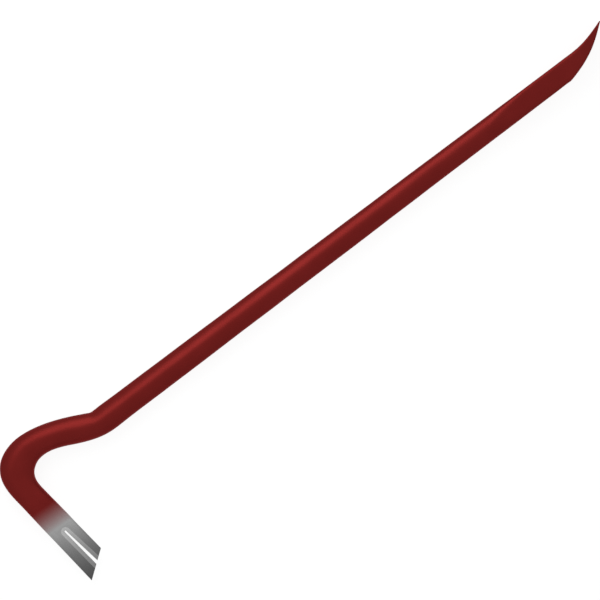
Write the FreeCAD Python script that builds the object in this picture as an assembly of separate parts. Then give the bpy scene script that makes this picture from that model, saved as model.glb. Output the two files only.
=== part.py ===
import FreeCAD, Part
import math
import os

# A gooseneck wrecking bar, forged in one piece from round bar and dipped in enamel.
# It lies on its side. X runs along the shank towards the chisel end, Z is square to
# the plane that the gooseneck is bent in, and that plane is z = 0. The origin is on
# the shank's axis, close to where the bar balances. All sizes are in millimetres.

# All outlines below are those of the finished surface: enamel where the bar is dipped,
# and bare steel on the claw. The steel lies deeper by the coat under the enamel.

# shank: round, drawn down a little towards the chisel end
neck_x = -165.0
neck_radius = 13.85
chisel_x = 375.0
chisel_radius = 11.25

# hook: where the edge of the gooseneck turns, and how steeply it leaves the shank
crease_x = -188.2
crease_y = 14.25
neck_angle = 153.5
heel_point = (-281.6, 33.4)
heel_angle = 205.0
throat_start = (-177.4, -13.9)
neck_end = (-222.1, -0.4)
throat_point = (-262.3, 5.3)
throat_angle = 209.2

# claw leg: flat bar that runs down from the heel
leg_outer_angle = -83.6
leg_inner_angle = -82.9
leg_outer_top = (-300.2, -14.0)
leg_inner_top = (-271.6, -16.3)
leg_thickness = 28.0
leg_stagger = 5.7
leg_length = 125.0
end_point = (-273.1, -110.9)
end_angle = 36.7

# thinning of the leg into the claw, measured down the leg from its outer top point
shoulder_start = 14.0
shoulder_end = 50.0
claw_thickness = 12.05
claw_tip_thickness = 4.0
claw_tip = 107.0
ground_depth = 0.25

# nail slot: narrow at its closed end, open at the slanted end
slot_end = (-279.49, -66.73)
slot_mouth = (-272.7, -110.78)
slot_end_width = 1.85
slot_mouth_width = 4.75
bevel_end_width = 9.4
bevel_mouth_width = 11.8
bevel_depth = 1.4

# chisel end: turns from round to square-cornered, flattens to a wide edge and curves up
round_end = 310.0
flat_start = 395.0
chisel_squareness = 10.0
chisel_upper_start = (416.0, 11.0)
chisel_lower_start = (402.0, -11.1)
tip_upper = (460.8, 19.85)
tip_lower = (460.7, 18.65)
tip_upper_angle = 18.7
tip_lower_start_angle = 12.1
tip_lower_angle = 37.5
chisel_width = 28.0

# enamel, and the stretch of the leg over which the bare steel comes out to the outline
coat = 0.25
coat_end_point = (-281.5, -55.0)
coat_end_angle = -1.8
steel_rise_start = 20.0
steel_rise_end = 45.0

rib_steps = 24

leg_angle = (leg_outer_angle + leg_inner_angle) / 2.0
claw_slope = (claw_thickness - claw_tip_thickness) / 2.0 / (claw_tip - shoulder_end)
claw_tilt = math.degrees(math.atan(claw_slope))


def along(angle, distance, start=(0.0, 0.0)):
    """Point at a distance from start, in a direction given in degrees."""
    turn = math.radians(angle)
    return (start[0] + distance * math.cos(turn), start[1] + distance * math.sin(turn))


def curve(start, start_angle, start_pull, end, end_angle, end_pull):
    """Smooth edge from start to end that leaves and arrives at the given angles."""
    first = along(start_angle, start_pull, start)
    last = along(end_angle, -end_pull, end)

    def at(t):
        s = 1.0 - t
        weights = (s ** 3, 3 * t * s * s, 3 * t * t * s, t ** 3)
        corners = (start, first, last, end)
        return tuple(sum(w * c[i] for w, c in zip(weights, corners)) for i in (0, 1))

    return at


def straight(start, angle):
    """Straight edge; its parameter is the distance from start."""
    return lambda distance: along(angle, distance, start)


def smooth_step(value, low, high):
    """0 at or below low, 1 at or above high, and an even S between them."""
    t = min(1.0, max(0.0, (value - low) / (high - low)))
    return t * t * (3.0 - 2.0 * t)


def rib(upper, lower, thickness, squareness, skin):
    """Upper half of a cross-section, from one edge point over the top to the other.

    Squareness 2 is round or oval; larger values flatten the sides.
    """
    mid_x = (upper[0] + lower[0]) / 2.0
    mid_y = (upper[1] + lower[1]) / 2.0
    width = math.hypot(upper[0] - lower[0], upper[1] - lower[1])
    across = ((upper[0] - lower[0]) / width, (upper[1] - lower[1]) / width)
    half_width = width / 2.0 + skin
    half_thickness = thickness / 2.0 + skin
    points = []
    for step in range(rib_steps + 1):
        c = math.cos(math.pi * step / rib_steps)
        s = math.sin(math.pi * step / rib_steps) if 0 < step < rib_steps else 0.0
        size = (abs(c) ** squareness + s ** squareness) ** (-1.0 / squareness)
        y = half_width * c * size
        z = half_thickness * s * size
        points.append(FreeCAD.Vector(mid_x + across[0] * y, mid_y + across[1] * y, z))
    return points


def rib_curve(points, side):
    """The rib as one smooth curve that meets its mirror image squarely; side is 1 or -1."""
    top = points[rib_steps // 2].z
    rise = FreeCAD.Vector(0, 0, side * math.pi * top)
    outline = Part.BSplineCurve()
    outline.interpolate(
        Points=[FreeCAD.Vector(p.x, p.y, side * p.z) for p in points],
        Parameters=[step / rib_steps for step in range(rib_steps + 1)],
        InitialTangent=rise, FinalTangent=-rise, Scale=False)
    return outline


def half_skin(ribs, side):
    """Smooth face through the ribs on one side of the plane z = 0."""
    places = [0.0]
    for first, second in zip(ribs, ribs[1:]):
        step = (second[0] + second[-1] - first[0] - first[-1]).Length / 2.0
        places.append(places[-1] + step)
    across = [rib_curve(points, side) for points in ribs]
    lengthwise = []
    for poles in zip(*[outline.getPoles() for outline in across]):
        line = Part.BSplineCurve()
        line.interpolate(Points=list(poles), Parameters=places)
        lengthwise.append(line)
    face = Part.BSplineSurface()
    face.buildFromPolesMultsKnots(
        [line.getPoles() for line in lengthwise],
        across[0].getMultiplicities(), lengthwise[0].getMultiplicities(),
        across[0].getKnots(), lengthwise[0].getKnots(), False, False, 3, 3)
    return face.toShape()


def skinned_solid(ribs):
    faces = [half_skin(ribs, 1), half_skin(ribs, -1)]
    for end in (ribs[0], ribs[-1]):
        faces.append(Part.Face(Part.Wire([rib_curve(end, side).toShape() for side in (1, -1)])))
    shell = Part.makeShell(faces)
    shell.sewShape()
    solid = Part.Solid(shell)
    if solid.Volume < 0:
        solid.reverse()
    return solid


def shank_radius(x):
    return neck_radius + (chisel_radius - neck_radius) * (x - neck_x) / (chisel_x - neck_x)


def shank_rib(x, skin):
    radius = shank_radius(x)
    return rib((x, radius), (x, -radius), 2.0 * radius, 2.0, skin)


def claw_half(distance):
    """Half thickness of the claw's even wedge at a distance down the leg."""
    return claw_thickness / 2.0 - claw_slope * (distance - shoulder_end)


def leg_half(distance):
    """Half thickness of the leg, which drops over the shoulder to the claw's wedge."""
    blend = smooth_step(distance, shoulder_start, shoulder_end)
    return leg_thickness / 2.0 * (1.0 - blend) + claw_half(distance) * blend


def leg_edges(distance):
    """Points on the leg's outer and inner edge, straight across from each other."""
    outer = along(leg_outer_angle, distance, leg_outer_top)
    inner = along(leg_inner_angle, distance - leg_stagger, leg_inner_top)
    return outer, inner


def hook_ribs(skin):
    """Cross-sections from the shank's thick end round the gooseneck and down the claw.

    Skin is how far the surface lies outside the finished outline of a dipped stretch.
    """
    before_crease = straight((neck_x, neck_radius), 180.0)
    past_crease = curve((crease_x, crease_y), neck_angle, 18.0, heel_point, heel_angle, 33.7)
    past_heel = curve(heel_point, heel_angle, 27.0, leg_outer_top, leg_outer_angle, 10.3)
    under_neck = curve(throat_start, 180.0, 15.0, neck_end, neck_angle, 14.7)
    into_throat = curve(neck_end, neck_angle, 15.0, throat_point, throat_angle, 13.6)
    out_of_throat = curve(throat_point, throat_angle, 10.5, leg_inner_top, leg_inner_angle, 8.0)
    neck = 2.0 * neck_radius
    ribs = [shank_rib(neck_x, skin)]
    ribs.append(rib(before_crease(12.0), throat_start, neck, 2.0, skin))
    ribs.append(rib(before_crease(21.5), under_neck(0.32), neck, 2.0, skin))
    ribs.append(rib((crease_x, crease_y), under_neck(0.40), neck, 2.0, skin))
    for outer, inner in ((0.03, 0.48), (0.12, 0.70), (0.24, 0.92)):
        ribs.append(rib(past_crease(outer), under_neck(inner), neck, 2.0, skin))
    for outer, inner in ((0.40, 0.15), (0.56, 0.37), (0.72, 0.59), (0.87, 0.80)):
        square = 2.0 + 0.5 * smooth_step(outer, 0.4, 1.0)
        ribs.append(rib(past_crease(outer), into_throat(inner), leg_thickness, square, skin))
    ribs.append(rib(past_heel(0.03), into_throat(0.97), leg_thickness, 2.5, skin))
    for outer, inner in ((0.24, 0.20), (0.48, 0.42), (0.76, 0.66)):
        square = 2.5 + outer
        ribs.append(rib(past_heel(outer), out_of_throat(inner), leg_thickness, square, skin))
    for distance in (7.0, 15.0, 22.0, 29.0, 36.0, 43.0, 50.0, 57.0, 75.0, 95.0, leg_length):
        square = 3.5 + 1.5 * smooth_step(distance, 0.0, 40.0)
        rise = coat * smooth_step(distance, steel_rise_start, steel_rise_end)
        outer_point, inner_point = leg_edges(distance)
        ribs.append(rib(outer_point, inner_point, 2.0 * leg_half(distance), square, skin + rise))
    return ribs


def chisel_ribs(skin):
    """Cross-sections from the shank's thin end to the chisel edge.

    The enamel, whose skin is 0, reaches past the steel's edge by the coat.
    """
    upper_bend = curve(chisel_upper_start, 0.0, 14.0, tip_upper, tip_upper_angle, 24.6)
    lower_bend = curve(chisel_lower_start, tip_lower_start_angle, 33.8,
                       tip_lower, tip_lower_angle, 12.7)
    stations = []
    for upper_x, lower_x in ((335.0, 335.0), (355.0, 355.0), (375.0, 373.5), (392.0, 388.0), (405.0, 399.5)):
        stations.append(((upper_x, shank_radius(upper_x)), (lower_x, -shank_radius(lower_x))))
    stations.append(((411.0, shank_radius(411.0)), chisel_lower_start))
    stations.append((chisel_upper_start, lower_bend(0.12)))
    for t in (0.2, 0.4, 0.6, 0.8, 0.92):
        stations.append((upper_bend(t), lower_bend(0.12 + 0.88 * t)))
    stations.append((tip_upper, tip_lower))
    if skin == 0.0:
        stations.append((along(tip_lower_angle - 10.0, coat, tip_upper),
                         along(tip_lower_angle - 10.0, coat, tip_lower)))
    ribs = [shank_rib(round_end, skin)]
    for upper, lower in stations:
        spread = smooth_step(upper[0], chisel_x, tip_upper[0])
        round_width = 2.0 * shank_radius(upper[0])
        width = round_width + (chisel_width - round_width) * spread
        square = 2.0 + (chisel_squareness - 2.0) * smooth_step(upper[0], round_end, flat_start)
        ribs.append(rib(upper, lower, width, square, skin))
    return ribs


def bar(skin):
    """The whole bar, uncut, with its surface moved out by skin."""
    middle = [shank_rib(neck_x + (round_end - neck_x) * step / 8.0, skin) for step in range(1, 8)]
    return skinned_solid(hook_ribs(skin)[::-1] + middle + chisel_ribs(skin))


def block_beyond(point, angle, reach):
    """A block whose face lies on a line through point, and that fills its right side."""
    block = Part.makeBox(4.0 * reach, reach, 2.0 * reach, FreeCAD.Vector(-2.0 * reach, -reach, -reach))
    block.rotate(FreeCAD.Vector(0, 0, 0), FreeCAD.Vector(0, 0, 1), angle)
    block.translate(FreeCAD.Vector(point[0], point[1], 0))
    return block


def keyhole(end_width, mouth_width, z):
    """Slot outline at height z: a round closed end and straight sides that spread."""
    run = math.dist(slot_end, slot_mouth)
    past = 12.0
    mouth = mouth_width / 2.0 + past * (mouth_width - end_width) / (2.0 * run)
    radius = end_width / 2.0
    corners = [(0.0, radius), (run + past, mouth), (run + past, -mouth), (0.0, -radius)]
    points = [FreeCAD.Vector(x, y, z) for x, y in corners]
    back = FreeCAD.Vector(-radius, 0.0, z)
    edges = [Part.makeLine(points[i], points[i + 1]) for i in range(3)]
    edges.append(Part.Arc(points[3], back, points[0]).toShape())
    return Part.Wire(edges)


def place_on_leg(shape, tilt):
    """Turn a tool made at the slot's closed end, along X, to lie along the slot."""
    heading = math.degrees(math.atan2(slot_mouth[1] - slot_end[1], slot_mouth[0] - slot_end[0]))
    shape.rotate(FreeCAD.Vector(0, 0, 0), FreeCAD.Vector(0, 1, 0), tilt)
    shape.rotate(FreeCAD.Vector(0, 0, 0), FreeCAD.Vector(0, 0, 1), heading)
    shape.translate(FreeCAD.Vector(slot_end[0], slot_end[1], 0))
    return shape


def leg_middle(distance):
    outer, inner = leg_edges(distance)
    return ((outer[0] + inner[0]) / 2.0, (outer[1] + inner[1]) / 2.0)


def ground_height(point):
    """Height of the ground face of the claw above the plane z = 0 at a point on it."""
    top = leg_middle(0.0)
    down = along(leg_angle, 1.0)
    distance = (point[0] - top[0]) * down[0] + (point[1] - top[1]) * down[1]
    return claw_half(distance) - ground_depth


def ground_faces():
    """Blocks that leave a flat ground face on each side of the claw."""
    start = leg_middle(shoulder_end)
    tools = []
    for side in (1, -1):
        low = 0.0 if side > 0 else -20.0
        block = Part.makeBox(90.0, 60.0, 20.0, FreeCAD.Vector(0, -30.0, low))
        block.rotate(FreeCAD.Vector(0, 0, 0), FreeCAD.Vector(0, 1, 0), side * claw_tilt)
        block.rotate(FreeCAD.Vector(0, 0, 0), FreeCAD.Vector(0, 0, 1), leg_angle)
        block.translate(FreeCAD.Vector(start[0], start[1], side * ground_height(start)))
        tools.append(block)
    return tools


def bevel_outline(rise, side):
    """Outline of the bevel at a height above the ground face, on either side of the claw."""
    spread = 1.0 + rise / bevel_depth
    end_width = slot_end_width + spread * (bevel_end_width - slot_end_width)
    mouth_width = slot_mouth_width + spread * (bevel_mouth_width - slot_mouth_width)
    return keyhole(end_width, mouth_width, side * (ground_height(slot_end) + rise))


def slot_tools():
    """The through slot and the bevel that is ground round it on each face.

    Each bevel tool runs on a little inside the slot, past where it meets the slot's wall.
    """
    through = Part.Face(keyhole(slot_end_width, slot_mouth_width, -20.0))
    tools = [place_on_leg(through.extrude(FreeCAD.Vector(0, 0, 40.0)), 0.0)]
    for side in (1, -1):
        outlines = [bevel_outline(rise, side) for rise in (-bevel_depth - 0.3, 6.0)]
        tools.append(place_on_leg(Part.makeLoft(outlines, True, True), side * claw_tilt))
    return tools


def make_forged_bar():
    """The steel alone; the slanted end is cut last, through the finished slot."""
    steel = bar(-coat)
    for tool in ground_faces() + slot_tools():
        steel = steel.cut(tool)
    return steel.cut(block_beyond(end_point, end_angle, 60.0)).Solids[0]


def make_paint_coat(steel):
    shell = bar(0.0)
    shell = shell.cut(block_beyond(coat_end_point, coat_end_angle, 120.0))
    return shell.cut(steel).Solids[0]


os.makedirs("parts", exist_ok=True)
forged_bar = make_forged_bar()
paint_coat = make_paint_coat(forged_bar)
for name, shape in (("forged_bar", forged_bar), ("paint_coat", paint_coat)):
    shape.exportStep("parts/" + name + ".step")
    print(name, shape.ShapeType, "solids", len(shape.Solids), "valid", shape.isValid(),
          "volume", round(shape.Volume), "centre", shape.CenterOfGravity if shape.Solids else None)
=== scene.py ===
import math

import bmesh
import bpy
import numpy as np
from mathutils import Matrix, Vector, noise


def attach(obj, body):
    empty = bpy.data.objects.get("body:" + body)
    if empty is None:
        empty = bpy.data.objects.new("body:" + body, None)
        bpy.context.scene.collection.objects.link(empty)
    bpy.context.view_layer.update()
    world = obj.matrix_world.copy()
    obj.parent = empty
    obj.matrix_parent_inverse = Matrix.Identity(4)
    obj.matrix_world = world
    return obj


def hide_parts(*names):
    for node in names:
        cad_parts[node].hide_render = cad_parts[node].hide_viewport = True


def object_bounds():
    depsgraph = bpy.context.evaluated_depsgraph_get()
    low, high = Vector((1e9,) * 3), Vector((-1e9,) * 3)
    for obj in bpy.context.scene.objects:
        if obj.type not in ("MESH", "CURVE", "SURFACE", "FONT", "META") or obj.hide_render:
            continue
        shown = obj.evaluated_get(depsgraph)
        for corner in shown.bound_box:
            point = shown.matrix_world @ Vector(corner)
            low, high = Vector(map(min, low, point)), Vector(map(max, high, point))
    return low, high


# A gooseneck wrecking bar that lies on its side: one forged steel bar, dipped in red
# enamel down to the claw. X runs along the shank to the chisel end, and the gooseneck
# is bent in the plane z = 0. Shapes are worked out in millimetres and go into the
# scene in metres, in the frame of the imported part.

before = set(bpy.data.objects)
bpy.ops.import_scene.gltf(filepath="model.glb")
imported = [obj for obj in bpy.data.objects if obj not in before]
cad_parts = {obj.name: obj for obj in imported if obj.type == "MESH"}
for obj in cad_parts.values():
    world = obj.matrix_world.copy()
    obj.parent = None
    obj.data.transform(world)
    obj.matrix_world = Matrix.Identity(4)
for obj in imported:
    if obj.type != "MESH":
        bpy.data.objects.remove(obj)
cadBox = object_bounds()
scene = bpy.context.scene
mm = 0.001
print("frame loaded:", ", ".join(sorted(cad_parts)))

# The bar's own measurements, over the enamel where it is dipped. Headings are in
# degrees, as an edge passes a point.
bar = {
    "neckX": -165.0, "neckRadius": 13.85,                 # thick end of the round shank
    "roundEnd": 310.0, "flatStart": 395.0,                # the shank turns square between these
    "chiselX": 375.0, "chiselRadius": 11.25,              # its thin end, where the bar starts to widen
    "crease": (-188.2, 14.25), "neckHeading": 153.5,      # upper edge turns into the neck
    "heel": (-281.6, 33.4), "heelHeading": 205.0,
    "throatStart": (-177.4, -13.9), "throatStartHeading": 180.0,
    "neckEnd": (-222.1, -0.4),
    "throat": (-262.3, 5.3), "throatHeading": 209.2,
    "creasePulls": (18.0, 33.7), "heelPulls": (27.0, 10.3),    # how far each curve follows
    "neckPulls": (15.0, 14.7), "throatPulls": (15.0, 13.6),    # its first and last heading
    "innerPulls": (10.5, 8.0),
    "outerTop": (-300.2, -14.0), "outerHeading": -83.6,   # the leg's straight edges
    "innerTop": (-271.6, -16.3), "innerHeading": -82.9,
    "legStagger": 5.7,                                    # inner edge starts this much lower
    "legThickness": 28.0,
    "heelSquare": 2.5, "legSquare": (3.5, 5.0),           # 2 is round, more is square
    "shoulder": (14.0, 50.0),                             # distances down the leg
    "clawThickness": 12.05, "clawTipThickness": 4.0, "clawTip": 107.0,
    "endPoint": (-273.1, -110.9), "endHeading": 36.7,     # the slanted end
    "upperBend": (416.0, 11.0), "upperBendHeading": 0.0, "upperPulls": (14.0, 24.6),
    "lowerBend": (402.0, -11.1), "lowerBendHeading": 12.1, "lowerPulls": (33.8, 12.7),
    "tipUpper": (460.8, 19.85), "tipUpperHeading": 18.7,
    "tipLower": (460.7, 18.65), "tipLowerHeading": 37.5,
    "chiselWidth": 28.0, "chiselSquare": 10.0,
    "coat": 0.25, "steelRise": (20.0, 45.0),              # where bare steel comes up to the outline
}


def pointFrom(start, heading, distance):
    turn = math.radians(heading)
    return (start[0] + distance * math.cos(turn), start[1] + distance * math.sin(turn))


def edgeCurve(start, heading, end, endHeading, pulls):
    first = pointFrom(start, heading, pulls[0])
    last = pointFrom(end, endHeading, -pulls[1])

    def at(t):
        s = 1.0 - t
        weights = (s ** 3, 3 * t * s * s, 3 * t * t * s, t ** 3)
        corners = (start, first, last, end)
        return tuple(sum(w * c[i] for w, c in zip(weights, corners)) for i in (0, 1))

    return at


def smoothStep(value, low, high):
    t = np.clip((value - low) / (high - low), 0.0, 1.0)
    return t * t * (3.0 - 2.0 * t)


def shankRadius(x):
    run = (x - bar["neckX"]) / (bar["chiselX"] - bar["neckX"])
    return bar["neckRadius"] + (bar["chiselRadius"] - bar["neckRadius"]) * run


def shankRib(x):
    radius = shankRadius(x)
    return ((x, radius), (x, -radius), 2.0 * radius, 2.0, 0.0)


# the claw is an even wedge below the shoulder
clawThins = (bar["clawThickness"] - bar["clawTipThickness"]) / 2.0
clawSlope = clawThins / (bar["clawTip"] - bar["shoulder"][1])
clawTilt = math.atan(clawSlope)
legHeading = (bar["outerHeading"] + bar["innerHeading"]) / 2.0


def clawHalf(distance):
    return bar["clawThickness"] / 2.0 - clawSlope * (distance - bar["shoulder"][1])


def legEdges(distance):
    outer = pointFrom(bar["outerTop"], bar["outerHeading"], distance)
    inner = pointFrom(bar["innerTop"], bar["innerHeading"], distance - bar["legStagger"])
    return outer, inner


def legRib(distance):
    blend = smoothStep(distance, *bar["shoulder"])
    half = bar["legThickness"] / 2.0 * (1.0 - blend) + clawHalf(distance) * blend
    outer, inner = legEdges(distance)
    rise = bar["coat"] * smoothStep(distance, *bar["steelRise"])
    lessSquare, moreSquare = bar["legSquare"]
    square = lessSquare + (moreSquare - lessSquare) * smoothStep(distance, 0.0, 40.0)
    return (outer, inner, 2.0 * half, square, rise)


# from the thick end of the shank round the gooseneck and down the claw
def hookRibs():
    neck = 2.0 * bar["neckRadius"]
    leg = bar["legThickness"]
    pastCrease = edgeCurve(bar["crease"], bar["neckHeading"],
                           bar["heel"], bar["heelHeading"], bar["creasePulls"])
    pastHeel = edgeCurve(bar["heel"], bar["heelHeading"],
                         bar["outerTop"], bar["outerHeading"], bar["heelPulls"])
    underNeck = edgeCurve(bar["throatStart"], bar["throatStartHeading"],
                          bar["neckEnd"], bar["neckHeading"], bar["neckPulls"])
    intoThroat = edgeCurve(bar["neckEnd"], bar["neckHeading"],
                           bar["throat"], bar["throatHeading"], bar["throatPulls"])
    outOfThroat = edgeCurve(bar["throat"], bar["throatHeading"],
                            bar["innerTop"], bar["innerHeading"], bar["innerPulls"])
    ribs = [shankRib(bar["neckX"])]
    ribs.append(((bar["neckX"] - 12.0, bar["neckRadius"]), bar["throatStart"], neck, 2.0, 0.0))
    ribs.append(((bar["neckX"] - 21.5, bar["neckRadius"]), underNeck(0.32), neck, 2.0, 0.0))
    for outer, inner in ((0.0, 0.40), (0.03, 0.48), (0.12, 0.70), (0.24, 0.92)):
        ribs.append((pastCrease(outer), underNeck(inner), neck, 2.0, 0.0))
    for outer, inner in ((0.40, 0.15), (0.56, 0.37), (0.72, 0.59), (0.87, 0.80)):
        square = 2.0 + (bar["heelSquare"] - 2.0) * smoothStep(outer, 0.4, 1.0)
        ribs.append((pastCrease(outer), intoThroat(inner), leg, square, 0.0))
    ribs.append((pastHeel(0.03), intoThroat(0.97), leg, bar["heelSquare"], 0.0))
    for outer, inner in ((0.24, 0.20), (0.48, 0.42), (0.76, 0.66)):
        ribs.append((pastHeel(outer), outOfThroat(inner), leg, bar["heelSquare"] + outer, 0.0))
    for distance in (7.0, 15.0, 22.0, 29.0, 36.0, 43.0, 50.0, 57.0, 75.0, 95.0, 125.0):
        ribs.append(legRib(distance))
    return ribs


# from the thin end of the shank to the chisel's edge
def chiselRibs():
    upper = edgeCurve(bar["upperBend"], bar["upperBendHeading"],
                      bar["tipUpper"], bar["tipUpperHeading"], bar["upperPulls"])
    lower = edgeCurve(bar["lowerBend"], bar["lowerBendHeading"],
                      bar["tipLower"], bar["tipLowerHeading"], bar["lowerPulls"])
    pairs = []
    for top, under in ((335.0, 335.0), (355.0, 355.0), (375.0, 373.5), (392.0, 388.0), (405.0, 399.5)):
        pairs.append(((top, shankRadius(top)), (under, -shankRadius(under))))
    pairs.append(((411.0, shankRadius(411.0)), bar["lowerBend"]))
    pairs.append((bar["upperBend"], lower(0.12)))
    pairs += [(upper(t), lower(0.12 + 0.88 * t)) for t in (0.2, 0.4, 0.6, 0.8, 0.92)]
    pairs.append((bar["tipUpper"], bar["tipLower"]))
    ribs = [shankRib(bar["roundEnd"])]
    for top, bottom in pairs:
        spread = smoothStep(top[0], bar["chiselX"], bar["tipUpper"][0])
        roundWidth = 2.0 * shankRadius(top[0])
        width = roundWidth + (bar["chiselWidth"] - roundWidth) * spread
        square = 2.0 + (bar["chiselSquare"] - 2.0) * smoothStep(top[0], bar["roundEnd"], bar["flatStart"])
        ribs.append((top, bottom, width, square, 0.0))
    return ribs


shankSteps = np.linspace(bar["neckX"], bar["roundEnd"], 9)[1:-1]
ribs = hookRibs()[::-1] + [shankRib(x) for x in shankSteps] + chiselRibs()
ribRows = np.array([[*top, *bottom, *rest] for top, bottom, *rest in ribs])
ribMiddles = (ribRows[:, 0:2] + ribRows[:, 2:4]) / 2.0
ribPlaces = np.concatenate([[0.0], np.cumsum(np.linalg.norm(np.diff(ribMiddles, axis=0), axis=1))])


# second derivatives of the natural cubic spline through the rows
def splineBends(places, rows):
    gaps = np.diff(places)[:, None]
    slopes = np.diff(rows, axis=0) / gaps
    system = np.eye(len(places))
    right = np.zeros_like(rows)
    for i in range(1, len(places) - 1):
        before, after = gaps[i - 1, 0], gaps[i, 0]
        system[i, i - 1:i + 2] = (before, 2.0 * (before + after), after)
        right[i] = 6.0 * (slopes[i] - slopes[i - 1])
    return np.linalg.solve(system, right)


ribBends = splineBends(ribPlaces, ribRows)


# rib values at distances along the bar, measured from the claw's end
def ribAt(station):
    i = np.clip(np.searchsorted(ribPlaces, station) - 1, 0, len(ribPlaces) - 2)
    gap = ribPlaces[i + 1] - ribPlaces[i]
    b = (station - ribPlaces[i]) / gap
    a = 1.0 - b
    a, b, gap = a[:, None], b[:, None], gap[:, None]
    bent = ((a ** 3 - a) * ribBends[i] + (b ** 3 - b) * ribBends[i + 1]) * gap ** 2 / 6.0
    return a * ribRows[i] + b * ribRows[i + 1] + bent


# points on the bar and the way out of it, for a grid of stations with a column for each turn;
# skin is how far the surface lies outside the outline of the dipped stretch
def barSurface(grid, skin=0.0):
    row = ribAt(grid.ravel())
    turn = np.broadcast_to(ringColumns, grid.shape).ravel()
    c = np.cos(turn)
    s = np.sin(turn)
    across = row[:, 0:2] - row[:, 2:4]
    width = np.linalg.norm(across, axis=1)
    across = across / width[:, None]
    half = np.stack([width / 2.0, row[:, 4] / 2.0], axis=1) + skin + row[:, 6:7]
    power = np.maximum(row[:, 5], 2.0)
    size = (np.abs(c) ** power + np.abs(s) ** power) ** (-1.0 / power)
    unit = np.stack([c * size, s * size], axis=1)
    out = np.sign(unit) * np.abs(unit) ** (power[:, None] - 1.0) / half
    out = out / np.linalg.norm(out, axis=1)[:, None]
    flat = unit * half
    middle = (row[:, 0:2] + row[:, 2:4]) / 2.0
    point = np.column_stack([middle + across * flat[:, :1], flat[:, 1]])
    normal = np.column_stack([across * out[:, :1], out[:, 1]])
    return point.reshape(*grid.shape, 3), normal.reshape(*grid.shape, 3)


# How the forging differs from a perfect shape, in millimetres.
forging = {
    "broadWave": 0.16, "broadSize": 38.0,       # long swells left by the hammer
    "fineWave": 0.05, "fineSize": 9.0,
    "fineShift": (7.3, 1.9, 4.1),               # keeps the two waves out of step
    "flashHeight": 0.14, "flashWidth": 0.7,     # trimmed parting line on the forged ends
    "hookEnds": (-188.0, -160.0), "chiselStarts": (385.0, 405.0),    # where along X it fades
    "groundStarts": (-50.0, -70.0),             # heights where the grinding starts and is whole
    "groundShare": 0.15,                        # what it leaves of the waves
    "columns": 80,                              # points round a section
    "flashTurns": (-2.6, -1.2, 1.2, 2.6),       # degrees to more points, by the parting line
    "fineFrom": 12.0, "squareAbove": 64.0,      # down the leg: rings lie closer, and then slant
    "clawStep": 0.9, "shankStep": 3.0,          # between rings
    "slantStep": 0.016,                         # between slanted rings, as a share of their stretch
}


def forgedSurface(grid, skin):
    point, normal = barSurface(grid, skin)
    flat = point.reshape(-1, 3)
    elsewhere = Vector(forging["fineShift"])
    broad = np.array([noise.noise(Vector(p / forging["broadSize"])) for p in flat])
    fine = np.array([noise.noise(Vector(p / forging["fineSize"]) + elsewhere) for p in flat])
    lift = forging["broadWave"] * broad + forging["fineWave"] * fine
    onHook = 1.0 - smoothStep(flat[:, 0], *forging["hookEnds"])
    onEnds = onHook + smoothStep(flat[:, 0], *forging["chiselStarts"])
    groundTop, groundWhole = forging["groundStarts"]
    unground = smoothStep(flat[:, 1], groundWhole, groundTop)
    lift = lift + onEnds * forging["flashHeight"] * np.exp(-(flat[:, 2] / forging["flashWidth"]) ** 2)
    lift = lift * (forging["groundShare"] + (1.0 - forging["groundShare"]) * unground)
    return point + normal * lift.reshape(*grid.shape, 1), normal


# turns round a section, closer together at the parting line on both edges
def ringTurns():
    even = np.linspace(0.0, 2.0 * math.pi, forging["columns"], endpoint=False)
    close = np.radians(forging["flashTurns"])
    return np.sort(np.concatenate([even, close % (2.0 * math.pi), close + math.pi]))


ringColumns = ringTurns()


# station of the section whose middle is nearest to a point
def stationOf(x, y):
    tries = np.linspace(0.0, ribPlaces[-1], 6000)     # about every 0.15 mm
    row = ribAt(tries)
    middle = (row[:, 0:2] + row[:, 2:4]) / 2.0
    return tries[np.argmin(np.hypot(middle[:, 0] - x, middle[:, 1] - y))]


def evenStations(start, end, step):
    return np.linspace(start, end, max(2, int(round(abs(end - start) / step)) + 1))


def ringGrid(stations):
    return np.repeat(np.asarray(stations)[:, None], len(ringColumns), axis=1)


# moves stations on the leg until their points lie on a line across it
def slideToLine(grid, linePoint, heading):
    turn = math.radians(heading)
    square = np.array([-math.sin(turn), math.cos(turn)])
    down = np.array(pointFrom((0.0, 0.0), legHeading, 1.0))
    for attempt in range(5):
        point = barSurface(grid)[0]
        off = (point[..., 0:2] - np.array(linePoint)) @ square
        grid = grid + off / float(down @ square)
    return grid


# rings that start on a slanted line across the leg and are square to the bar by a station
def slantedRings(linePoint, heading, squareAt, step):
    first = slideToLine(ringGrid([stationOf(*linePoint)]), linePoint, heading)
    blend = evenStations(0.0, 1.0, step)[:-1, None]
    return first + (squareAt - first) * blend


# a closed tube of quads through rings of points given in millimetres
def meshFromRings(name, rings):
    count = rings.shape[1]
    mesh = bpy.data.meshes.new(name)
    points = (rings.reshape(-1, 3) * mm).tolist()
    faces = []
    for i in range(rings.shape[0] - 1):
        for k in range(count):
            nextK = (k + 1) % count
            near, far = i * count, (i + 1) * count
            faces.append((near + k, near + nextK, far + nextK, far + k))
    last = (rings.shape[0] - 1) * count
    faces.append(tuple(range(count))[::-1])
    faces.append(tuple(last + k for k in range(count)))
    mesh.from_pydata(points, [], faces)
    mesh.validate()
    piece = bpy.data.objects.new(name, mesh)
    scene.collection.objects.link(piece)
    return piece


manySided = 12      # corners of a face that is shaded flat


# smooth shading, but flat on big many-sided faces and broken at edges that turn by more than an angle
def shadeSmooth(piece, sharpTurn):
    for face in piece.data.polygons:
        face.use_smooth = len(face.vertices) < manySided
    piece.data.set_sharp_from_angle(angle=math.radians(sharpTurn))


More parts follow.
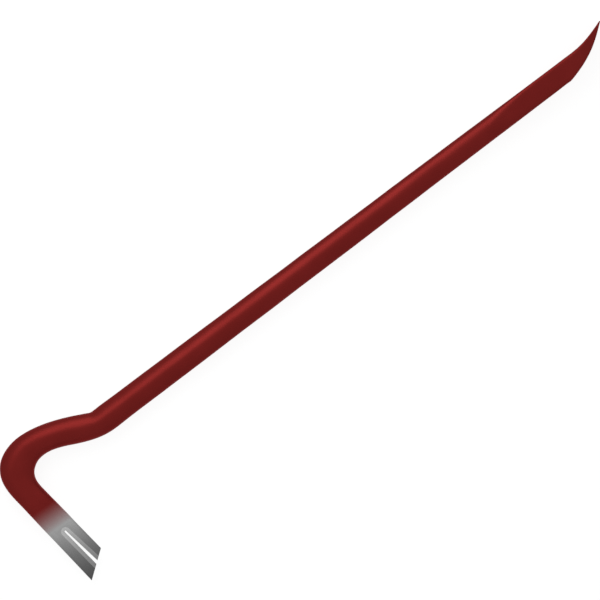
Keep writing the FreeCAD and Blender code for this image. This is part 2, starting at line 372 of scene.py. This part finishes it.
def turnFacesOut(piece):
    work = bmesh.new()
    work.from_mesh(piece.data)
    bmesh.ops.recalc_face_normals(work, faces=work.faces)
    work.to_mesh(piece.data)
    work.free()


def applyModifier(piece, modifier):
    bpy.context.view_layer.objects.active = piece
    bpy.ops.object.modifier_apply(modifier=modifier.name)


# Colours as hex codes, lengths in millimetres, scales as patches for each metre.
finish = {
    "red": "6A1D1B",                       # enamel
    "redShade": "651B19", "redLight": "6F1F1D",
    "redThin": "7E1D1B",                   # where it fades out
    "enamelRoughness": 0.41, "enamelMetal": 0.8, "sheenLevel": 0.4, "sheenTint": (0.7, 0.1, 0.09, 1.0),
    "redClouds": 45.0,
    "peelScale": 620.0, "peelRough": 0.08, "peelStrength": 0.3, "peelDepth": 0.08,    # orange peel
    "steel": ("9D9D9D", "878787", "717171", "5D5D5D", "4A4A4A"),      # painted shade: darker from the fade line to the tip, for the face tilting away from the light
    # lighter ground bevel, with the same painted shade darker towards the tip
    "bevel": ("B9B9B9", "A6A6A6", "949494", "838383", "747474"),
    "fadePoint": (-283.7, -33.6), "fadeHeading": -2.0, "fadeLength": 25.9,
    "fadeRagged": 2.2, "fadeSpecks": 1500.0, "fadeBend": 1.6,    # uneven edge, how late steel shows
    "paintedShadeLength": 62.0,                   # over which the painted shade darkens the bare steel
    "grindScale": (25.0, 1900.0, 1900.0),  # grind lines along and across
    "grindTone": 0.16, "grindRough": 0.16, "grindStrength": 0.25, "grindDepth": 0.03,
    "steelClouds": 140.0, "cloudTone": 0.08, "darkestTone": 0.88,
    "steelRoughness": 0.38, "steelMetal": 0.85,
}


# linear colour from a six-letter hex code
def colourOf(text):
    parts = [int(text[i:i + 2], 16) / 255.0 for i in (0, 2, 4)]
    return [p / 12.92 if p <= 0.04045 else ((p + 0.055) / 1.055) ** 2.4 for p in parts] + [1.0]


# a node with its sockets set or linked by name; a leading underscore sets a property
def addNode(tree, kind, **inputs):
    made = tree.nodes.new(kind)
    for name, value in inputs.items():
        if name.startswith("_"):
            setattr(made, name[1:], value)
            continue
        socket = made.inputs[int(name[1:])] if name[1:].isdigit() else made.inputs[name.replace("_", " ")]
        if isinstance(value, bpy.types.NodeSocket):
            tree.links.new(value, socket)
        else:
            socket.default_value = value
    return made


def newMaterial(name):
    material = bpy.data.materials.new(name)
    material.use_nodes = True
    material.node_tree.nodes.clear()
    return material, material.node_tree


# a times a factor plus b
def sumOf(tree, a, factor, b):
    return addNode(tree, "ShaderNodeMath", _operation="MULTIPLY_ADD", i0=a, i1=factor, i2=b).outputs[0]


# distance below the upper end of the fade, in metres
def belowFade(tree, place):
    turn = math.radians(finish["fadeHeading"])
    down = (math.sin(turn), -math.cos(turn), 0.0)
    start = Vector((*finish["fadePoint"], 0.0)) * mm
    along = addNode(tree, "ShaderNodeVectorMath", _operation="DOT_PRODUCT", i0=place, i1=down)
    return sumOf(tree, along.outputs["Value"], 1.0, -start.dot(Vector(down)))


def rampOf(tree, fac, colours):
    ramp = addNode(tree, "ShaderNodeValToRGB", Fac=fac)
    stops = ramp.color_ramp.elements
    while len(stops) < len(colours):
        stops.new(0.5)
    for i, code in enumerate(colours):
        stops[i].position = i / (len(colours) - 1)
        stops[i].color = colourOf(code)
    return ramp.outputs["Color"]


# bare ground steel, with painted shade that darkens it towards the tip, and grind lines along a heading
def steelShader(tree, colours, lineHeading):
    place = addNode(tree, "ShaderNodeTexCoord").outputs["Object"]
    below = belowFade(tree, place)
    paintedShadeLength = finish["paintedShadeLength"]
    run = sumOf(tree, below, 1.0 / (paintedShadeLength * mm), -finish["fadeLength"] / paintedShadeLength)
    # painted shade: the grey runs darker towards the tip, standing in for the face turning from the light
    greyWithPaintedShade = rampOf(tree, run, colours)
    turn = (0.0, 0.0, -math.radians(lineHeading))
    turned = addNode(tree, "ShaderNodeMapping", Vector=place, Rotation=turn)
    streaks = addNode(tree, "ShaderNodeMapping", Vector=turned.outputs[0], Scale=finish["grindScale"])
    lines = addNode(tree, "ShaderNodeTexNoise", Vector=streaks.outputs[0], Scale=1.0, Detail=3.0)
    clouds = addNode(tree, "ShaderNodeTexNoise", Vector=place, Scale=finish["steelClouds"], Detail=2.0)
    cloudy = sumOf(tree, clouds.outputs["Fac"], finish["cloudTone"], finish["darkestTone"])
    tone = sumOf(tree, lines.outputs["Fac"], finish["grindTone"], cloudy)
    colour = addNode(tree, "ShaderNodeVectorMath", _operation="SCALE", i0=greyWithPaintedShade, Scale=tone)
    rough = sumOf(tree, lines.outputs["Fac"], finish["grindRough"], finish["steelRoughness"])
    bump = addNode(tree, "ShaderNodeBump", Strength=finish["grindStrength"],
                   Distance=finish["grindDepth"] * mm, Height=lines.outputs["Fac"])
    return addNode(tree, "ShaderNodeBsdfPrincipled", Base_Color=colour.outputs[0],
                   Metallic=finish["steelMetal"], Roughness=rough, Normal=bump.outputs[0]).outputs[0]


def steelMaterial(name, colours, lineHeading):
    material, tree = newMaterial(name)
    shader = steelShader(tree, colours, lineHeading)
    addNode(tree, "ShaderNodeOutputMaterial", Surface=shader)
    return material


# red enamel with a faint orange peel, which thins out to bare steel on the claw
def enamelMaterial():
    material, tree = newMaterial("redEnamel")
    place = addNode(tree, "ShaderNodeTexCoord").outputs["Object"]
    clouds = addNode(tree, "ShaderNodeTexNoise", Vector=place, Scale=finish["redClouds"], Detail=3.0)
    red = rampOf(tree, clouds.outputs["Fac"], (finish["redShade"], finish["red"], finish["redLight"]))
    peel = addNode(tree, "ShaderNodeTexNoise", Vector=place, Scale=finish["peelScale"], Detail=2.0)
    smoothest = finish["enamelRoughness"] - finish["peelRough"] / 2.0
    rough = sumOf(tree, peel.outputs["Fac"], finish["peelRough"], smoothest)
    bump = addNode(tree, "ShaderNodeBump", Strength=finish["peelStrength"],
                   Distance=finish["peelDepth"] * mm, Height=peel.outputs["Fac"])
    below = belowFade(tree, place)
    ragged = finish["fadeRagged"] * mm
    speck = addNode(tree, "ShaderNodeTexNoise", Vector=place, Scale=finish["fadeSpecks"], Detail=1.0)
    uneven = sumOf(tree, speck.outputs["Fac"], ragged, sumOf(tree, below, 1.0, -ragged / 2.0))
    share = addNode(tree, "ShaderNodeMath", _operation="DIVIDE", _use_clamp=True,
                    i0=uneven, i1=finish["fadeLength"] * mm).outputs[0]
    bare = addNode(tree, "ShaderNodeMath", _operation="POWER", i0=share, i1=finish["fadeBend"]).outputs[0]
    redThin = colourOf(finish["redThin"])
    thinned = addNode(tree, "ShaderNodeMixRGB", Fac=share, Color1=red, Color2=redThin)
    enamel = addNode(tree, "ShaderNodeBsdfPrincipled", Base_Color=thinned.outputs[0],
                     Metallic=finish["enamelMetal"], Roughness=rough,
                     Specular_IOR_Level=finish["sheenLevel"],
                     Specular_Tint=finish["sheenTint"], Normal=bump.outputs[0])
    # bare steel below the fade, with the same painted shade darker towards the tip
    steel = steelShader(tree, finish["steel"], legHeading)
    both = addNode(tree, "ShaderNodeMixShader", Fac=bare, i1=enamel.outputs[0], i2=steel)
    addNode(tree, "ShaderNodeOutputMaterial", Surface=both.outputs[0])
    return material


bareSteel = steelMaterial("bareSteel", finish["steel"], legHeading)
groundBevel = steelMaterial("groundBevel", finish["bevel"], legHeading)
redEnamel = enamelMaterial()
print("materials made")


# The slot, its bevels and the ground faces of the claw.
claw = {
    "slotEnd": (-279.49, -66.73), "slotMouth": (-272.7, -110.78),
    "endWidth": 1.85, "mouthWidth": 3.35,
    "bevelEndWidth": 9.4, "bevelMouthWidth": 11.8, "bevelDepth": 1.4,
    "groundDepth": 0.25,
    "mergeGap": 0.03,                           # slivers that the cuts leave are closed up
    "edgeWidth": 0.22,                          # asked for, but thin faces hold it to about 0.01
    "edgeTurn": 32.0, "shadeTurn": 40.0,        # sharper edges are cut back, and shaded as edges
    "arcSteps": 14, "sideSteps": 12,
    "pastMouth": 12.0, "bevelBelow": 0.3, "bevelAbove": 6.0,    # how far the cutting tools reach
    "slotReach": 20.0, "groundLength": 90.0, "groundSide": 30.0, "groundAbove": 20.0,
}


def legMiddle(distance):
    outer, inner = legEdges(distance)
    return ((outer[0] + inner[0]) / 2.0, (outer[1] + inner[1]) / 2.0)


# height of the claw's ground face above the middle plane
def groundHeight(point):
    top = legMiddle(0.0)
    down = pointFrom((0.0, 0.0), legHeading, 1.0)
    distance = (point[0] - top[0]) * down[0] + (point[1] - top[1]) * down[1]
    return clawHalf(distance) - claw["groundDepth"]


# outline of the slot along X: a round closed end and straight sides that spread
def keyhole(endWidth, mouthWidth, z):
    run = math.dist(claw["slotEnd"], claw["slotMouth"])
    past = claw["pastMouth"]
    radius = endWidth / 2.0
    mouth = mouthWidth / 2.0 + past * (mouthWidth - endWidth) / (2.0 * run)
    side = []
    for step in range(claw["sideSteps"]):
        share = 1.0 - step / claw["sideSteps"]
        side.append(((run + past) * share, radius + (mouth - radius) * share))
    points = [Vector((x, y, z)) for x, y in side]
    for step in range(claw["arcSteps"] + 1):
        turn = math.pi / 2.0 + math.pi * step / claw["arcSteps"]
        points.append(Vector((radius * math.cos(turn), radius * math.sin(turn), z)))
    points += [Vector((x, -y, z)) for x, y in reversed(side)]
    return points


# outline of the bevel at a height above the ground face, on either side of the claw
def bevelOutline(rise, side):
    spread = 1.0 + rise / claw["bevelDepth"]
    endWidth = claw["endWidth"] + spread * (claw["bevelEndWidth"] - claw["endWidth"])
    mouthWidth = claw["mouthWidth"] + spread * (claw["bevelMouthWidth"] - claw["mouthWidth"])
    return keyhole(endWidth, mouthWidth, side * (groundHeight(claw["slotEnd"]) + rise))


# placement of a tool made along X at the slot's closed end
def onSlot(tilt):
    end, mouth = Vector(claw["slotEnd"]), Vector(claw["slotMouth"])
    heading = math.atan2(mouth.y - end.y, mouth.x - end.x)
    place = Matrix.Translation((end.x, end.y, 0.0))
    return place @ Matrix.Rotation(heading, 4, "Z") @ Matrix.Rotation(tilt, 4, "Y")


# a closed tool between two outlines with the same number of points
def cutter(name, low, high, place, material):
    rings = np.array([[tuple(place @ p) for p in ring] for ring in (low, high)])
    tool = meshFromRings(name, rings)
    tool.data.materials.append(material)
    turnFacesOut(tool)
    return tool


def clawTools():
    tools = []
    start = legMiddle(bar["shoulder"][1])
    length, reach = claw["groundLength"], claw["groundSide"]
    corners = ((0.0, -reach), (length, -reach), (length, reach), (0.0, reach))
    for side in (1, -1):
        place = Matrix.Translation((start[0], start[1], side * groundHeight(start)))
        place = place @ Matrix.Rotation(math.radians(legHeading), 4, "Z")
        place = place @ Matrix.Rotation(side * clawTilt, 4, "Y")
        low = [Vector((x, y, 0.0)) for x, y in corners]
        high = [Vector((x, y, side * claw["groundAbove"])) for x, y in corners]
        tools.append(cutter("groundTool", low, high, place, bareSteel))
    low = keyhole(claw["endWidth"], claw["mouthWidth"], -claw["slotReach"])
    high = keyhole(claw["endWidth"], claw["mouthWidth"], claw["slotReach"])
    tools.append(cutter("slotTool", low, high, onSlot(0.0), bareSteel))
    for side in (1, -1):
        low = bevelOutline(-claw["bevelDepth"] - claw["bevelBelow"], side)
        high = bevelOutline(claw["bevelAbove"], side)
        tools.append(cutter("bevelTool", low, high, onSlot(side * clawTilt), groundBevel))
    return tools


def makeSteelBar():
    fineTop = stationOf(*legMiddle(forging["fineFrom"]))
    squareAt = stationOf(*legMiddle(forging["squareAbove"]))
    grid = np.concatenate([
        slantedRings(bar["endPoint"], bar["endHeading"], squareAt, forging["slantStep"]),
        ringGrid(evenStations(squareAt, fineTop, forging["clawStep"])[:-1]),
        ringGrid(evenStations(fineTop, ribPlaces[-1], forging["shankStep"]))])
    rings = forgedSurface(grid, -bar["coat"])[0]
    piece = meshFromRings("forgedSteelBar", rings)
    piece.data.materials.append(bareSteel)
    turnFacesOut(piece)
    for tool in clawTools():
        cut = piece.modifiers.new("cut", "BOOLEAN")
        cut.object = tool
        cut.operation = "DIFFERENCE"
        cut.solver = "EXACT"
        cut.material_mode = "TRANSFER"
        applyModifier(piece, cut)
        bpy.data.objects.remove(tool)
    return piece


# closes up slivers, cuts the sharp edges back by next to nothing and sets the shading
def finishEdges(piece, width):
    work = bmesh.new()
    work.from_mesh(piece.data)
    bmesh.ops.remove_doubles(work, verts=work.verts, dist=claw["mergeGap"] * mm)
    bmesh.ops.dissolve_degenerate(work, edges=work.edges, dist=claw["mergeGap"] * mm)
    work.to_mesh(piece.data)
    work.free()
    soften = piece.modifiers.new("soften", "BEVEL")
    soften.width = width * mm
    soften.segments = 2
    soften.limit_method = "ANGLE"
    soften.angle_limit = math.radians(claw["edgeTurn"])
    applyModifier(piece, soften)
    shadeSmooth(piece, claw["shadeTurn"])


steelBar = makeSteelBar()
finishEdges(steelBar, claw["edgeWidth"])
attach(steelBar, "root")
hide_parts("forged_bar")
print("steel bar made:", len(steelBar.data.polygons), "faces")


# The enamel, which is bar["coat"] thick where it is whole.
coat = {
    "thinEnd": 0.03,                        # what is left of the coat where it fades out
    "gap": 0.01,                            # between the steel and the coat's inside
    "tipHeading": 30.0,                     # way that the coat reaches past the edge
    "pastFade": 1.0, "thinStart": -2.0,     # it ends below the fade, and thins from above it
    "step": 1.0,                            # between rings, and twice this along the shank
    "squareAbove": 8.0,                     # rings slant from this far down the leg
    "slantedRings": 45,
    "pastNeck": 8.0,                        # the wider steps start this far along the shank
    "shadeTurn": 50.0,
}


def belowFadeLine(points):
    turn = math.radians(finish["fadeHeading"])
    down = np.array([math.sin(turn), -math.cos(turn)])
    return (points[..., 0:2] - np.array(finish["fadePoint"])) @ down


# rings from the end of the fade to the chisel's edge, with a slanted first ring
def coatGrid(step):
    reach = finish["fadeLength"] + coat["pastFade"]
    fadeEnd = pointFrom(finish["fadePoint"], finish["fadeHeading"] - 90.0, reach)
    squareAt = stationOf(*legMiddle(coat["squareAbove"]))
    neck = stationOf(bar["neckX"] + coat["pastNeck"], 0.0)
    chisel = stationOf(bar["chiselX"], 0.0)
    return np.concatenate([
        slantedRings(fadeEnd, finish["fadeHeading"], squareAt, step / coat["slantedRings"]),
        ringGrid(evenStations(squareAt, neck, step)[:-1]),
        ringGrid(evenStations(neck, chisel, 2.0 * step)[:-1]),
        ringGrid(evenStations(chisel, ribPlaces[-1], step))])


# one closed skin that goes from the chisel's edge to the fade outside and back inside
def makeEnamelCoat():
    surface, normals = forgedSurface(coatGrid(coat["step"]), -bar["coat"])
    thin = smoothStep(belowFadeLine(surface), coat["thinStart"], finish["fadeLength"])
    skin = bar["coat"] + (coat["thinEnd"] - bar["coat"]) * thin
    outside = surface + normals * skin[..., None]
    forward = np.array([*pointFrom((0.0, 0.0), coat["tipHeading"], 1.0), 0.0])
    lastRing = outside[-1:] + forward * bar["coat"] * 0.6
    innermost = surface[-1:] + normals[-1:] * bar["coat"] * 0.5 + forward * bar["coat"]
    inside = surface + normals * coat["gap"]
    inside = np.concatenate([inside[:-1:2], inside[-1:] + forward * coat["gap"]])
    outward = np.concatenate([outside, lastRing, innermost])[::-1]
    piece = meshFromRings("enamelCoat", np.concatenate([outward, inside]))
    piece.data.materials.append(redEnamel)
    turnFacesOut(piece)
    shadeSmooth(piece, coat["shadeTurn"])
    return piece


enamelCoat = makeEnamelCoat()
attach(enamelCoat, "root")
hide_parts("paint_coat")
print("enamel coat made:", len(enamelCoat.data.polygons), "faces")


# Floor, light and camera, in metres, watts and degrees, with the lens and its sensor in millimetres.
studio = {
    "floorSize": 60.0, "floorGap": 0.00002,
    "floorGlow": 0.90, "floorMatt": 0.20,   # white that always shows, and what the lamps add
    "floorFill": 0.90,                      # how much light the floor sends back up
    "ambient": 0.5,
    "panelHigh": (-0.45, 0.47, 1.28), "panelLow": (0.46, 0.64, -0.12),
    "panelWidth": 0.47, "panelPower": 4.0,
    "viewCentre": (0.0502, -0.0229), "viewWidth": 0.6056, "viewTurn": -37.04,
    "lens": 800.0, "sensorWidth": 36.0, "farthest": 200.0,
}


# camera rays, and the glossy and transmission rays that should find white
def rayShares(tree):
    rays = addNode(tree, "ShaderNodeLightPath")
    bounced = addNode(tree, "ShaderNodeMath", _operation="MAXIMUM",
                      i0=rays.outputs["Is Glossy Ray"], i1=rays.outputs["Is Transmission Ray"])
    return rays.outputs["Is Camera Ray"], bounced.outputs[0]


def larger(tree, a, b):
    return addNode(tree, "ShaderNodeMath", _operation="MAXIMUM", i0=a, i1=b).outputs[0]


def makeFloor():
    half = studio["floorSize"] / 2.0
    low = cadBox[0].z - studio["floorGap"]
    corners = [(-half, -half, low), (half, -half, low), (half, half, low), (-half, half, low)]
    mesh = bpy.data.meshes.new("floor")
    mesh.from_pydata(corners, [], [(0, 1, 2, 3)])
    floor = bpy.data.objects.new("floor", mesh)
    scene.collection.objects.link(floor)
    material, tree = newMaterial("paleFloor")
    seen, bounced = rayShares(tree)
    glow = larger(tree, sumOf(tree, seen, studio["floorGlow"], 0.0), bounced)
    white = addNode(tree, "ShaderNodeEmission", Color=(1.0, 1.0, 1.0, 1.0), Strength=glow)
    full = studio["floorFill"]
    pale = sumOf(tree, seen, studio["floorMatt"] - full, sumOf(tree, bounced, -full, full))
    matt = addNode(tree, "ShaderNodeBsdfDiffuse", Color=pale)
    both = addNode(tree, "ShaderNodeAddShader", i0=matt.outputs[0], i1=white.outputs[0])
    addNode(tree, "ShaderNodeOutputMaterial", Surface=both.outputs[0])
    mesh.materials.append(material)


def makeWorld():
    world = bpy.data.worlds.new("studioWorld")
    world.use_nodes = True
    tree = world.node_tree
    tree.nodes.clear()
    strength = sumOf(tree, larger(tree, *rayShares(tree)), 1.0 - studio["ambient"], studio["ambient"])
    sky = addNode(tree, "ShaderNodeBackground", Color=(1.0, 1.0, 1.0, 1.0), Strength=strength)
    addNode(tree, "ShaderNodeOutputWorld", Surface=sky.outputs[0])
    scene.world = world


# a long soft panel beside the bar that comes down to the floor at the chisel end
def makePanel():
    high, low = Vector(studio["panelHigh"]), Vector(studio["panelLow"])
    centre = (high + low) / 2.0
    lengthwise = (low - high).normalized()
    toBar = Vector((centre.x, 0.0, 0.0)) - centre
    back = -(toBar - lengthwise * toBar.dot(lengthwise)).normalized()
    widthwise = back.cross(lengthwise)
    light = bpy.data.lights.new("softPanel", "AREA")
    light.shape = "ELLIPSE"
    light.size = (low - high).length
    light.size_y = studio["panelWidth"]
    light.energy = studio["panelPower"]
    panel = bpy.data.objects.new("softPanel", light)
    turned = Matrix((lengthwise, widthwise, back)).transposed().to_4x4()
    panel.matrix_world = Matrix.Translation(centre) @ turned
    panel.visible_camera = False
    scene.collection.objects.link(panel)


def makeCamera():
    data = bpy.data.cameras.new("camera")
    data.lens = studio["lens"]
    data.sensor_width = studio["sensorWidth"]
    distance = data.lens * studio["viewWidth"] / data.sensor_width
    data.clip_end = studio["farthest"]
    camera = bpy.data.objects.new("camera", data)
    camera.location = (*studio["viewCentre"], distance)
    camera.rotation_euler = (0.0, 0.0, math.radians(studio["viewTurn"]))
    scene.collection.objects.link(camera)
    bpy.context.scene.camera = camera


makeFloor()
makeWorld()
makePanel()
makeCamera()
scene.view_settings.view_transform = "Standard"
print("studio made")
